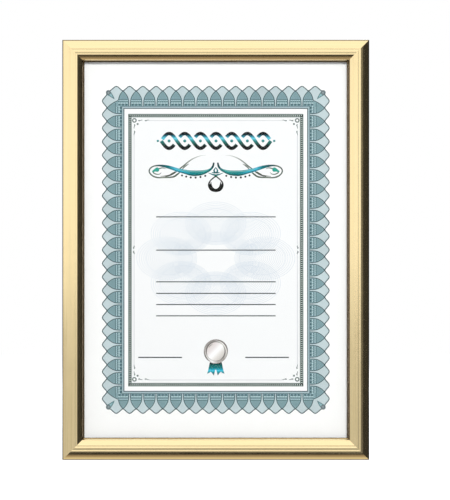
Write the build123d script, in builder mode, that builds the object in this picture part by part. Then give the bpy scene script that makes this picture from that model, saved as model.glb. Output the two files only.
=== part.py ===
from build123d import *
import math
import os

os.makedirs("parts", exist_ok=True)

# All lengths are in millimetres. +Z is up and the picture side faces -Y.
# The frame stands on z = 0 with the middle of its width and depth at x = 0, y = 0.

# Certificate and the stack that holds it, from the glass to the back
sheet_width = 210.0
sheet_height = 297.0
sheet_thickness = 0.3
glass_thickness = 2.0
card_thickness = 1.2
board_thickness = 3.0
stack_clearance = 0.3

# Moulding
rail_width = 17.0
lip_overlap = 4.0
moulding_depth = 15.0
side_wall_height = 9.6

# Nails driven across the mitres from behind
nail_leg = 3.4
nail_thickness = 0.45
nail_depth = 5.0
nail_spread_angle = 68.0
nail_inset = 4.2
nail_pitch = 4.2
nail_clearance = 0.05

# Turn buttons and their screws
button_thickness = 0.8
button_pivot_inset = 8.2
button_reach = 5.3
button_pivot_radius = 3.6
button_tip_radius = 2.6
button_clearance = 0.1
button_edge_round = 0.2
side_button_inset = 73.5
end_button_inset = 35.0
pilot_clearance = 0.05
screw_shank_radius = 1.2
screw_length = 8.0
screw_point_length = 1.8
screw_head_radius = 2.3
screw_head_height = 1.4
screw_recess_length = 2.6
screw_recess_width = 0.5
screw_recess_depth = 0.7
running_clearance = 0.07

# Easel strut and its hinge
hinge_height = 205.0
strut_gap = 0.3
strut_thickness = 3.0
strut_top_width = 44.0
strut_foot_width = 70.0
strut_foot_gap = 3.0
strut_top_drop = 2.6
strut_top_round = 2.0
strut_foot_round = 6.0
strut_open_angle = 30.0
leaf_thickness = 0.8
leaf_width = 32.0
leaf_length = 18.0
plate_thickness = 1.0
plate_width = 40.0
plate_height = 15.0
plate_foot = 0.8
plate_corner_round = 2.0
pin_radius = 0.8
knuckle_wall = 0.8
middle_knuckle_length = 12.0
outer_knuckle_length = 8.0
knuckle_gap = 0.3
stop_length = 5.5
stop_gap = 0.1
plate_rivet_spacing = 26.0
plate_rivet_rise = 9.0
leaf_rivet_spacing = 18.0
leaf_rivet_pitch = 7.0
leaf_rivet_drop = 10.5

# Rivets of the hinge and the hangers
rivet_shank_radius = 1.2
rivet_head_radius = 2.2
rivet_head_height = 0.7

# Hangers
ring_wire_radius = 0.9
ring_half_width = 7.0
ring_arm_length = 5.0
ring_bend_radius = 1.5
strap_thickness = 0.8
strap_width = 9.0
strap_length = 5.0
top_hanger_inset = 36.0
side_hanger_inset = 36.0

# Sizes that follow from the ones above
rebate_width = lip_overlap + stack_clearance
rebate_depth = glass_thickness + sheet_thickness + card_thickness + board_thickness
frame_width = sheet_width - 2 * lip_overlap + 2 * rail_width
frame_height = sheet_height - 2 * lip_overlap + 2 * rail_width
relief = moulding_depth - side_wall_height
knuckle_radius = pin_radius + running_clearance + knuckle_wall
leaf_back = strut_gap + strut_thickness + leaf_thickness
hardware_reach = leaf_back + rivet_head_height
hinge_axis_reach = leaf_back - knuckle_radius
loop_inner_radius = ring_wire_radius + running_clearance
loop_radius = loop_inner_radius + strap_thickness
back_y = (moulding_depth - hardware_reach) / 2
side_button_spacing = sheet_height - 2 * side_button_inset
end_button_spacing = sheet_width - 2 * end_button_inset
top_hanger_height = frame_height - top_hanger_inset
side_hanger_x = -(frame_width / 2 - side_hanger_inset)


def dome_radius(edge_radius, height):
    """Radius of a round cap of this height on a circle of this radius."""
    return (edge_radius**2 + height**2) / (2 * height)


screw_dome_radius = dome_radius(screw_head_radius, screw_head_height)
rivet_dome_radius = dome_radius(rivet_head_radius, rivet_head_height)


def facing_plane(forward, x=0, z=0, x_dir=(1, 0, 0)):
    """Plane that faces the viewer, a distance forward of the moulding's back."""
    return Plane(origin=(x, back_y - forward, z), x_dir=x_dir, z_dir=(0, -1, 0))


def save(part, name):
    """Label a finished piece and write it under its own name."""
    part.label = name
    export_step(part, f"parts/{name}.step")


# Moulding section
# Each row is one arc of the carved front, from the outer edge to the sight edge: where it
# ends across the rail, how high it ends in the relief, and how far it bulges.
carving_shares = [
    (0.022, 0.150, 0.010),
    (0.353, 0.885, 0.102),
    (0.412, 0.940, 0.013),
    (0.500, 0.972, -0.026),
    (0.585, 0.980, 0.024),
    (0.635, 0.965, -0.015),
    (0.688, 0.945, 0.017),
    (0.900, 0.472, 0.035),
    (0.959, 0.020, 0.010),
    (1.000, -0.070, 0.022),
]


def bulged_arc(start, end, bulge):
    """Arc from start to end that stands off its chord by bulge, to the left of travel."""
    across, up = end[0] - start[0], end[1] - start[1]
    chord = math.hypot(across, up)
    middle = ((start[0] + end[0]) / 2 - up / chord * bulge,
              (start[1] + end[1]) / 2 + across / chord * bulge)
    return ThreePointArc(start, middle, end)


def moulding_outline():
    """Closed outline of the section: x runs inwards across the rail, y runs forwards."""
    point = (0, side_wall_height)
    for across_share, rise_share, bulge_share in carving_shares:
        next_point = (across_share * rail_width, side_wall_height + rise_share * relief)
        bulged_arc(point, next_point, bulge_share * relief)
        point = next_point
    Polyline(
        point,
        (rail_width, rebate_depth),
        (rail_width - rebate_width, rebate_depth),
        (rail_width - rebate_width, 0),
        (0, 0),
        (0, side_wall_height),
    )


# Mitre nails
# Two nails lie across each mitre, spaced along it.
corner_places = {
    "top_left": (-frame_width / 2, frame_height, 1, -1),
    "top_right": (frame_width / 2, frame_height, -1, -1),
    "bottom_left": (-frame_width / 2, 0, 1, 1),
    "bottom_right": (frame_width / 2, 0, -1, 1),
}


def nail_planes(corner):
    """Back planes of a corner's nails, with x along the mitre towards the outer corner."""
    corner_x, corner_z, inward_x, inward_z = corner_places[corner]
    return [
        facing_plane(
            0,
            corner_x + inward_x * inset,
            corner_z + inward_z * inset,
            x_dir=(-inward_x, 0, -inward_z),
        )
        for inset in (nail_inset, nail_inset + nail_pitch)
    ]


def nail_outline(clearance):
    """Two legs that open from the mitre line, wider all round by the clearance."""
    for side in (-1, 1):
        Rectangle(
            nail_leg + clearance,
            nail_thickness + 2 * clearance,
            rotation=side * nail_spread_angle,
            align=(Align.MIN, Align.CENTER),
        )


for corner in corner_places:
    with BuildPart() as corner_nails:
        with BuildSketch(*nail_planes(corner)):
            nail_outline(0)
        extrude(amount=nail_depth)
    save(corner_nails.part, f"corner_nails_{corner}")


# Places of the turn buttons
# Each button has the x and z of its screw, and the direction in which it points when closed.
left_x = -(frame_width / 2 - button_pivot_inset)
right_x = frame_width / 2 - button_pivot_inset
upper_z = frame_height / 2 + side_button_spacing / 2
lower_z = frame_height / 2 - side_button_spacing / 2
top_z = frame_height - button_pivot_inset
button_places = {
    "left_upper": ("rail_left", left_x, upper_z, (1, 0, 0)),
    "left_lower": ("rail_left", left_x, lower_z, (1, 0, 0)),
    "right_upper": ("rail_right", right_x, upper_z, (-1, 0, 0)),
    "right_lower": ("rail_right", right_x, lower_z, (-1, 0, 0)),
    "top_left": ("rail_top", -end_button_spacing / 2, top_z, (0, 0, -1)),
    "top_right": ("rail_top", end_button_spacing / 2, top_z, (0, 0, -1)),
    "bottom_left": ("rail_bottom", -end_button_spacing / 2, button_pivot_inset, (0, 0, 1)),
    "bottom_right": ("rail_bottom", end_button_spacing / 2, button_pivot_inset, (0, 0, 1)),
}


# Rails
# A rail's plane stands at the middle of its outer edge: x inwards, y forwards.
rail_places = {
    "rail_bottom": (
        Plane(origin=(0, back_y, 0), x_dir=(0, 0, 1), z_dir=(1, 0, 0)),
        frame_width,
        ("bottom_left", "bottom_right"),
    ),
    "rail_top": (
        Plane(origin=(0, back_y, frame_height), x_dir=(0, 0, -1), z_dir=(-1, 0, 0)),
        frame_width,
        ("top_left", "top_right"),
    ),
    "rail_left": (
        Plane(
            origin=(-frame_width / 2, back_y, frame_height / 2),
            x_dir=(1, 0, 0),
            z_dir=(0, 0, -1),
        ),
        frame_height,
        ("top_left", "bottom_left"),
    ),
    "rail_right": (
        Plane(
            origin=(frame_width / 2, back_y, frame_height / 2),
            x_dir=(-1, 0, 0),
            z_dir=(0, 0, 1),
        ),
        frame_height,
        ("top_right", "bottom_right"),
    ),
}


def mitre_plane(side_plane, length, end):
    """Plane of the mitre at one end, facing the rail's middle."""
    origin = side_plane.from_local_coords((0, 0, end * length / 2))
    facing = side_plane.x_dir * -1 + side_plane.z_dir * -end
    return Plane(origin=origin, z_dir=facing)


for rail_name, (side_plane, rail_length, corners) in rail_places.items():
    pilot_planes = [
        facing_plane(0, x, z) for owner, x, z, _ in button_places.values() if owner == rail_name
    ]
    slot_planes = [plane for corner in corners for plane in nail_planes(corner)]
    with BuildPart() as rail:
        with BuildSketch(side_plane):
            with BuildLine():
                moulding_outline()
            make_face()
        extrude(amount=rail_length / 2, both=True)
        split(bisect_by=mitre_plane(side_plane, rail_length, 1), keep=Keep.TOP)
        split(bisect_by=mitre_plane(side_plane, rail_length, -1), keep=Keep.TOP)
        with BuildSketch(*slot_planes):
            nail_outline(nail_clearance)
        extrude(amount=nail_depth + nail_clearance, mode=Mode.SUBTRACT)
        with BuildSketch(*pilot_planes):
            Circle(screw_shank_radius + pilot_clearance)
        extrude(amount=screw_length, mode=Mode.SUBTRACT)
    save(rail.part, rail_name)


# Stack in the rebate: glass, certificate, card and hardboard
stack_width = sheet_width
stack_height = sheet_height
middle_z = frame_height / 2

with BuildPart() as glass_pane:
    with BuildSketch(facing_plane(rebate_depth - glass_thickness, z=middle_z)):
        Rectangle(stack_width, stack_height)
    extrude(amount=glass_thickness)
save(glass_pane.part, "glass_pane")

with BuildPart() as certificate_sheet:
    with BuildSketch(facing_plane(board_thickness + card_thickness, z=middle_z)):
        Rectangle(sheet_width, sheet_height)
    extrude(amount=sheet_thickness)
save(certificate_sheet.part, "certificate_sheet")

with BuildPart() as backing_card:
    with BuildSketch(facing_plane(board_thickness, z=middle_z)):
        Rectangle(stack_width, stack_height)
    extrude(amount=card_thickness)
save(backing_card.part, "backing_card")

plate_rivet_places = [
    (side * plate_rivet_spacing / 2, hinge_height + plate_rivet_rise) for side in (-1, 1)
]
hanger_places = {
    "top": (0, top_hanger_height, (1, 0, 0), (0, top_hanger_height - strap_length)),
    "side": (side_hanger_x, middle_z, (0, 0, 1), (side_hanger_x + strap_length, middle_z)),
}
hanger_rivet_places = [place[3] for place in hanger_places.values()]

with BuildPart() as backing_board:
    with BuildSketch(facing_plane(0, z=middle_z)):
        Rectangle(stack_width, stack_height)
    extrude(amount=board_thickness)
    with BuildSketch(facing_plane(0)):
        with Locations(*plate_rivet_places, *hanger_rivet_places):
            Circle(rivet_shank_radius)
    extrude(amount=board_thickness, mode=Mode.SUBTRACT)
save(backing_board.part, "backing_board")


# Turn buttons
for button_name, (_, pivot_x, pivot_z, pointing) in button_places.items():
    button_back = button_clearance + button_thickness
    with BuildPart() as turn_button:
        with BuildSketch(facing_plane(-button_back, pivot_x, pivot_z, x_dir=pointing)):
            Circle(button_pivot_radius)
            with Locations((button_reach, 0)):
                Circle(button_tip_radius)
            make_hull()
            Circle(screw_shank_radius + running_clearance, mode=Mode.SUBTRACT)
        extrude(amount=button_thickness)
        rim = turn_button.faces().sort_by(Axis.Y)[-1].outer_wire().edges()
        chamfer(rim, length=button_edge_round)
    save(turn_button.part, f"turn_button_{button_name}")

# Screws of the turn buttons
# One screw stands on its seat with the shank below and a cross recess in its head.
head_seat = button_thickness + 2 * button_clearance

with BuildPart() as one_screw:
    with BuildSketch(Plane.XZ):
        with BuildLine():
            Polyline(
                (0, screw_head_height),
                (0, -head_seat - screw_length),
                (screw_shank_radius, -head_seat - screw_length + screw_point_length),
                (screw_shank_radius, 0),
                (screw_head_radius, 0),
            )
            RadiusArc((screw_head_radius, 0), (0, screw_head_height), -screw_dome_radius)
        make_face()
    revolve(axis=Axis.Z)
    with BuildSketch(Plane.XY.offset(screw_head_height)):
        Rectangle(screw_recess_length, screw_recess_width)
        Rectangle(screw_recess_width, screw_recess_length)
    extrude(amount=-screw_recess_depth, mode=Mode.SUBTRACT)

screw_seats = [
    Plane(origin=(x, back_y + head_seat, z), x_dir=(1, 0, 0), z_dir=(0, 1, 0)).location
    for _, x, z, _ in button_places.values()
]
with BuildPart() as button_screws:
    with Locations(*screw_seats):
        add(one_screw.part)
save(button_screws.part, "button_screws")


# Easel hinge
# The section plane stands on the hinge axis: x runs backwards from the frame and y upwards.
axis_point = (0, back_y + hinge_axis_reach, hinge_height)
section_plane = Plane(origin=axis_point, x_dir=(0, 1, 0), z_dir=(1, 0, 0))
stop_plane = section_plane.rotated((-strut_open_angle, 0, 0))
bore_radius = pin_radius + running_clearance
outer_knuckle_middle = middle_knuckle_length / 2 + knuckle_gap + outer_knuckle_length / 2
hinge_length = 2 * outer_knuckle_middle + outer_knuckle_length
notch_half_width = middle_knuckle_length / 2 + knuckle_gap
notch_height = knuckle_radius

with BuildPart() as easel_hinge_plate:
    with BuildSketch(facing_plane(-plate_thickness, z=hinge_height)):
        with Locations((0, -plate_foot)):
            Rectangle(
                plate_width, plate_height + plate_foot, align=(Align.CENTER, Align.MIN)
            )
        with Locations((0, -plate_foot)):
            Rectangle(
                2 * notch_half_width,
                notch_height + plate_foot,
                align=(Align.CENTER, Align.MIN),
                mode=Mode.SUBTRACT,
            )
        with Locations(*[(x, z - hinge_height) for x, z in plate_rivet_places]):
            Circle(rivet_shank_radius, mode=Mode.SUBTRACT)
    extrude(amount=plate_thickness)
    corner_edges = easel_hinge_plate.edges().filter_by(Axis.Y).group_by(Axis.Z)[-1]
    fillet(corner_edges, radius=plate_corner_round)
    for side in (-1, 1):
        with BuildSketch(section_plane.offset(side * outer_knuckle_middle)):
            Circle(knuckle_radius)
        extrude(amount=outer_knuckle_length / 2, both=True)
    with BuildSketch(section_plane):
        Circle(bore_radius)
    extrude(amount=hinge_length / 2, both=True, mode=Mode.SUBTRACT)
save(easel_hinge_plate.part, "easel_hinge_plate")

with BuildPart() as easel_hinge_pin:
    with BuildSketch(section_plane):
        Circle(pin_radius)
    extrude(amount=hinge_length / 2, both=True)
save(easel_hinge_pin.part, "easel_hinge_pin")

leaf_rivet_places = [
    (side * leaf_rivet_spacing / 2, hinge_height - leaf_rivet_drop + row * leaf_rivet_pitch / 2)
    for side in (-1, 1)
    for row in (-1, 1)
]

with BuildPart() as easel_hinge_leaf:
    with BuildSketch(facing_plane(-leaf_back)):
        with Locations((0, hinge_height - strut_top_drop)):
            Rectangle(
                leaf_width, leaf_length - strut_top_drop, align=(Align.CENTER, Align.MAX)
            )
        with Locations((0, hinge_height)):
            Rectangle(
                middle_knuckle_length, strut_top_drop, align=(Align.CENTER, Align.MAX)
            )
        with Locations(*leaf_rivet_places):
            Circle(rivet_shank_radius, mode=Mode.SUBTRACT)
    extrude(amount=leaf_thickness)
    with BuildSketch(section_plane):
        Circle(knuckle_radius)
    extrude(amount=middle_knuckle_length / 2, both=True)
    with BuildSketch(stop_plane):
        with Locations((plate_thickness + stop_gap - hinge_axis_reach, 0)):
            Rectangle(leaf_thickness, stop_length, align=(Align.MIN, Align.MIN))
    extrude(amount=middle_knuckle_length / 2, both=True)
    with BuildSketch(section_plane):
        Circle(bore_radius)
    extrude(amount=middle_knuckle_length / 2, both=True, mode=Mode.SUBTRACT)
save(easel_hinge_leaf.part, "easel_hinge_leaf")


# Easel strut
strut_top = hinge_height - strut_top_drop

with BuildPart() as easel_strut:
    with BuildSketch(facing_plane(-(strut_gap + strut_thickness))):
        with BuildLine():
            Polyline(
                (-strut_top_width / 2, strut_top),
                (-strut_foot_width / 2, strut_foot_gap),
                (strut_foot_width / 2, strut_foot_gap),
                (strut_top_width / 2, strut_top),
                close=True,
            )
        make_face()
        with Locations(*leaf_rivet_places):
            Circle(rivet_shank_radius, mode=Mode.SUBTRACT)
    extrude(amount=strut_thickness)
    upright_edges = easel_strut.edges().filter_by(Axis.Y).filter_by(GeomType.LINE)
    fillet(upright_edges.group_by(Axis.Z)[0], radius=strut_foot_round)
    upright_edges = easel_strut.edges().filter_by(Axis.Y).filter_by(GeomType.LINE)
    fillet(upright_edges.group_by(Axis.Z)[-1], radius=strut_top_round)
save(easel_strut.part, "easel_strut")


# Rivets
# A rivet stands on its seat with a low domed head, and its shank reaches to the far face.
rivet_groups = {
    "hinge_plate_rivets": (plate_thickness, -board_thickness, plate_rivet_places),
    "hanger_rivets": (strap_thickness, -board_thickness, hanger_rivet_places),
    "hinge_leaf_rivets": (leaf_back, strut_gap, leaf_rivet_places),
}

for group_name, (seat, far_face, places) in rivet_groups.items():
    with BuildPart() as one_rivet:
        with BuildSketch(Plane.XZ):
            with BuildLine():
                Polyline(
                    (0, rivet_head_height),
                    (0, far_face - seat),
                    (rivet_shank_radius, far_face - seat),
                    (rivet_shank_radius, 0),
                    (rivet_head_radius, 0),
                )
                RadiusArc((rivet_head_radius, 0), (0, rivet_head_height), -rivet_dome_radius)
            make_face()
        revolve(axis=Axis.Z)
    seats = [
        Plane(origin=(x, back_y + seat, z), x_dir=(1, 0, 0), z_dir=(0, 1, 0)).location
        for x, z in places
    ]
    with BuildPart() as rivets:
        with Locations(*seats):
            add(one_rivet.part)
    save(rivets.part, group_name)


# Hangers
# Each hanger's plane lies on the bar of its ring: x along the bar, y the way it hangs.
for hanger_name, (hanger_x, hanger_z, bar_direction, _) in hanger_places.items():
    bar_plane = facing_plane(-loop_radius, hanger_x, hanger_z, x_dir=bar_direction)
    strap_plane = facing_plane(-strap_thickness, hanger_x, hanger_z, x_dir=bar_direction)
    loop_plane = Plane(
        origin=bar_plane.origin, x_dir=bar_plane.z_dir, z_dir=bar_plane.x_dir
    )
    with BuildPart() as hanger_strap:
        with BuildSketch(strap_plane):
            Rectangle(strap_width, strap_length, align=(Align.CENTER, Align.MAX))
            with Locations((0, -strap_length)):
                Circle(strap_width / 2)
                Circle(rivet_shank_radius, mode=Mode.SUBTRACT)
        extrude(amount=strap_thickness)
        with BuildSketch(loop_plane):
            Circle(loop_radius)
        extrude(amount=strap_width / 2, both=True)
        with BuildSketch(loop_plane):
            Circle(loop_inner_radius)
        extrude(amount=strap_width / 2, both=True, mode=Mode.SUBTRACT)
    save(hanger_strap.part, f"{hanger_name}_hanger_strap")

    with BuildPart() as hanger_ring:
        with BuildLine(bar_plane) as half_ring:
            FilletPolyline(
                (0, 0),
                (ring_half_width, 0),
                (ring_half_width, -ring_arm_length),
                radius=ring_bend_radius,
            )
            RadiusArc(
                (ring_half_width, -ring_arm_length),
                (0, -ring_arm_length - ring_half_width),
                ring_half_width,
            )
        with BuildSketch(loop_plane):
            Circle(ring_wire_radius)
        sweep(path=half_ring.wire())
        mirror(about=loop_plane)
    save(hanger_ring.part, f"{hanger_name}_hanger_ring")
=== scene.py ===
import math

import bmesh
import bpy
from mathutils import Matrix, Vector
from mathutils.geometry import interpolate_bezier


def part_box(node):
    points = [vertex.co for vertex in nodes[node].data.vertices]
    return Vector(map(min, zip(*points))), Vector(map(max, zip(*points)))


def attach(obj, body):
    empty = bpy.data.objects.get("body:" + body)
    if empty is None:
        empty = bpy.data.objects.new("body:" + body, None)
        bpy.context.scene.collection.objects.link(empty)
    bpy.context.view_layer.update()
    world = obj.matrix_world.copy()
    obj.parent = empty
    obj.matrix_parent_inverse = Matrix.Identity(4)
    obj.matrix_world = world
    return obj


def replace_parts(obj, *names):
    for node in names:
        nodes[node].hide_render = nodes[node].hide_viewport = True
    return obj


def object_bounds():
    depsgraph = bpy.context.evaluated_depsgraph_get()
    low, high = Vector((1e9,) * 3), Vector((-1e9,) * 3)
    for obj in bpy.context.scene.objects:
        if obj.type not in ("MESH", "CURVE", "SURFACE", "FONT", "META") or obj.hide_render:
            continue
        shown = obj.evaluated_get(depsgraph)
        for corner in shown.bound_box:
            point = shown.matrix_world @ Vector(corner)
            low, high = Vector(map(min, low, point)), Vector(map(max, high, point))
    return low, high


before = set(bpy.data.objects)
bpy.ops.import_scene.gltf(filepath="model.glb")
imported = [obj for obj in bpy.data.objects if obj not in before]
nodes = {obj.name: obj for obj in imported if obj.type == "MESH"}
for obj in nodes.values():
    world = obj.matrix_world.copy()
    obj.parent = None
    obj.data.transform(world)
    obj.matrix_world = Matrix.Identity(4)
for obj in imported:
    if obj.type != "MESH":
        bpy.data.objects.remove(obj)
cad_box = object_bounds()

# Sizes in metres, in the frame's own axes: +Z up, the picture side faces -Y.
MM = 0.001
BACK_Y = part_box("rail_left")[1].y
SHEET_LOW, SHEET_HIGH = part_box("certificate_sheet")
SHEET_MIDDLE_Z = (SHEET_LOW.z + SHEET_HIGH.z) / 2
SHEET_MIDDLE = (0, 0, SHEET_MIDDLE_Z)
SIGHT_HALF = (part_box("rail_right")[0].x, SHEET_MIDDLE_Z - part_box("rail_bottom")[1].z)
OUTER_HALF = (cad_box[1].x, cad_box[1].z - SHEET_MIDDLE_Z)
CARVING_Y = BACK_Y - 9.6 * MM
PAPER_THICKNESS = 0.15 * MM
PAPER_FRONT = SHEET_HIGH.y - PAPER_THICKNESS
INK_SUNK = 0.005 * MM
INK_STEP = 0.02 * MM


# Colour and node helpers

def colour(red, green, blue):
    """Linear colour from the 0 to 255 numbers of a printed colour chart."""
    def linear(value):
        share = value / 255
        return share / 12.92 if share <= 0.04045 else ((share + 0.055) / 1.055) ** 2.4
    return (linear(red), linear(green), linear(blue), 1.0)


def grey(level):
    """Linear grey."""
    return (level, level, level, 1)


def fill(tree, node, values):
    """Give a node's input sockets their values or links."""
    for socket, value in values.items():
        if isinstance(value, bpy.types.NodeSocket):
            tree.links.new(value, node.inputs[socket])
        else:
            node.inputs[socket].default_value = value


def place(tree, kind, values=None, **settings):
    """Add a node, set its options, and fill its sockets."""
    node = tree.nodes.new(kind)
    for name, value in settings.items():
        setattr(node, name, value)
    fill(tree, node, values or {})
    return node


def mixed(tree, share, first, second, blend="MIX"):
    """Colour output between two colours or colour sockets."""
    node = place(tree, "ShaderNodeMix", {0: share, 6: first, 7: second},
                 data_type="RGBA", blend_type=blend)
    return node.outputs[2]


def spread(tree, value, low, high, new_low, new_high):
    """Value brought from one range to another, held inside it."""
    return place(tree, "ShaderNodeMapRange",
                 {0: value, 1: low, 2: high, 3: new_low, 4: new_high}).outputs[0]


def calculated(tree, operation, *values):
    """Output of one Math node."""
    return place(tree, "ShaderNodeMath", dict(enumerate(values)), operation=operation).outputs[0]


def ramp(tree, value, stops):
    """Colour ramp with (position, colour) stops."""
    node = place(tree, "ShaderNodeValToRGB", {0: value})
    elements = node.color_ramp.elements
    while len(elements) < len(stops):
        elements.new(0.5)
    for element, (position, stop_colour) in zip(elements, stops):
        element.position = position
        element.color = stop_colour
    return node.outputs[0]


def object_place(tree, middle=(0, 0, 0), scale=(1, 1, 1), turn=(0, 0, 0)):
    """Object coordinates centred on a point, then scaled and turned."""
    coordinates = place(tree, "ShaderNodeTexCoord").outputs["Object"]
    centred = place(tree, "ShaderNodeVectorMath",
                    {0: coordinates, 1: middle}, operation="SUBTRACT").outputs[0]
    return place(tree, "ShaderNodeMapping",
                 {"Vector": centred, "Rotation": turn, "Scale": scale}).outputs[0]


def separated(tree, vector):
    """The three parts of a vector."""
    return place(tree, "ShaderNodeSeparateXYZ", {0: vector}).outputs


def noise(tree, where, scale, detail, **more):
    """Noise value; more sockets are named with capitals, as on the node."""
    return place(tree, "ShaderNodeTexNoise",
                 {"Vector": where, "Scale": scale, "Detail": detail, **more}).outputs[0]


def new_group(name, inputs, outputs):
    """Empty node group with named float, vector or colour sockets."""
    group = bpy.data.node_groups.new(name, "ShaderNodeTree")
    kinds = {"f": "NodeSocketFloat", "v": "NodeSocketVector", "c": "NodeSocketColor"}
    for socket, kind, default in inputs:
        made = group.interface.new_socket(socket, in_out="INPUT", socket_type=kinds[kind])
        made.default_value = default
    for socket, kind in outputs:
        group.interface.new_socket(socket, in_out="OUTPUT", socket_type=kinds[kind])
    return group, group.nodes.new("NodeGroupInput").outputs, group.nodes.new("NodeGroupOutput")


def make_paper_tooth():
    """Faint clouding and fibre relief of paper, also seen through a print on it."""
    group, entry, leave = new_group(
        "paper_tooth",
        [("Fibre Scale", "f", 900.0), ("Clouding", "f", 0.02)],
        [("Shade", "c"), ("Height", "f")],
    )
    where = object_place(group)
    cloud = noise(group, where, 45.0, 4.0, Roughness=0.6)
    fibre = noise(group, where, entry[0], 3.0, Distortion=0.8)
    darker = calculated(group, "MULTIPLY", cloud, entry[1])
    level = calculated(group, "SUBTRACT", 1.0, darker)
    shade = place(group, "ShaderNodeCombineColor", {0: level, 1: level, 2: level})
    fill(group, leave, {0: shade.outputs[0], 1: fibre})
    return group


def make_drawn_grain():
    """Fine lines drawn along a piece, as foil and brushed metal have."""
    group, entry, leave = new_group(
        "drawn_grain",
        [("Stretched Place", "v", (0, 0, 0))],
        [("Line", "f"), ("Blotch", "f")],
    )
    fill(group, leave, {0: noise(group, entry[0], 1.0, 5.0, Roughness=0.65),
                        1: noise(group, object_place(group), 60.0, 4.0, Roughness=0.6)})
    return group


def make_pressed_fibre():
    """Matted fibres with specks, as in hardboard, card and a moulded core."""
    group, entry, leave = new_group(
        "pressed_fibre",
        [("Fibre Scale", "f", 700.0), ("Light", "c", (1, 1, 1, 1)),
         ("Dark", "c", (0, 0, 0, 1)), ("Speck Share", "f", 0.3)],
        [("Colour", "c"), ("Height", "f")],
    )
    where = object_place(group)
    stretched = object_place(group, scale=(1, 1, 0.35))
    fibre = noise(group, stretched, entry[0], 6.0, Roughness=0.7, Distortion=1.5)
    cloud = noise(group, where, 35.0, 4.0, Roughness=0.6)
    specks = place(group, "ShaderNodeTexVoronoi", {"Vector": where, "Scale": 420.0})
    speck = spread(group, specks.outputs["Distance"], 0.05, 0.22, 1.0, 0.0)
    speck = calculated(group, "MULTIPLY", speck, entry[3])
    both = calculated(group, "ADD", calculated(group, "MULTIPLY", fibre, 0.65),
                      calculated(group, "MULTIPLY", cloud, 0.5))
    mix_share = spread(group, both, 0.38, 0.75, 0.0, 1.0)
    base = mixed(group, mix_share, entry[2], entry[1])
    fill(group, leave, {0: mixed(group, speck, base, entry[2]), 1: fibre})
    return group


paper_tooth = make_paper_tooth()
drawn_grain = make_drawn_grain()
pressed_fibre = make_pressed_fibre()


def grouped(tree, group, values):
    """Place a shared group with its own values."""
    return place(tree, "ShaderNodeGroup", values, node_tree=group).outputs


def new_finish(name):
    """Material with one main shader, and its node tree."""
    finish = bpy.data.materials.new(name)
    finish.use_nodes = True
    return finish, finish.node_tree, finish.node_tree.nodes["Principled BSDF"]


def add_relief(tree, shader, height, depth, strength):
    """Small bumps from a height socket."""
    bump = place(tree, "ShaderNodeBump",
                 {"Height": height, "Distance": depth, "Strength": strength})
    fill(tree, shader, {"Normal": bump.outputs[0]})


# Finishes of the frame and its back

GRAIN_ALONG = 14.0
GRAIN_ACROSS = 1500.0
FOIL_LIGHT = (0.965, 0.785, 0.45, 1)
FOIL_DARK = (0.93, 0.745, 0.405, 1)
LIP_BROWN_AND_SHADE = (0.13, 0.085, 0.035, 1)
# Painted shade: colour of a thin dark line along the outer edge of the front face.
ARRIS_PAINTED_SHADE = (0.20, 0.145, 0.07, 1)
# How far the dark lip reaches from the sight edge, below and above the middle. It is partly the
# brown lip edge without foil and partly painted shade of the sight edge; on the level rails the
# painted shade reaches further at the top rail than at the bottom.
LIP_BROWN_AND_SHADE_REACHES = {"Z": (1.9 * MM, 1.9 * MM), "X": (0.45 * MM, 1.15 * MM)}
LIP_BROWN_AND_SHADE_FADE = 0.3 * MM
ARRIS_SHADE_REACH = (0.55 * MM, 0.80 * MM)


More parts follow.
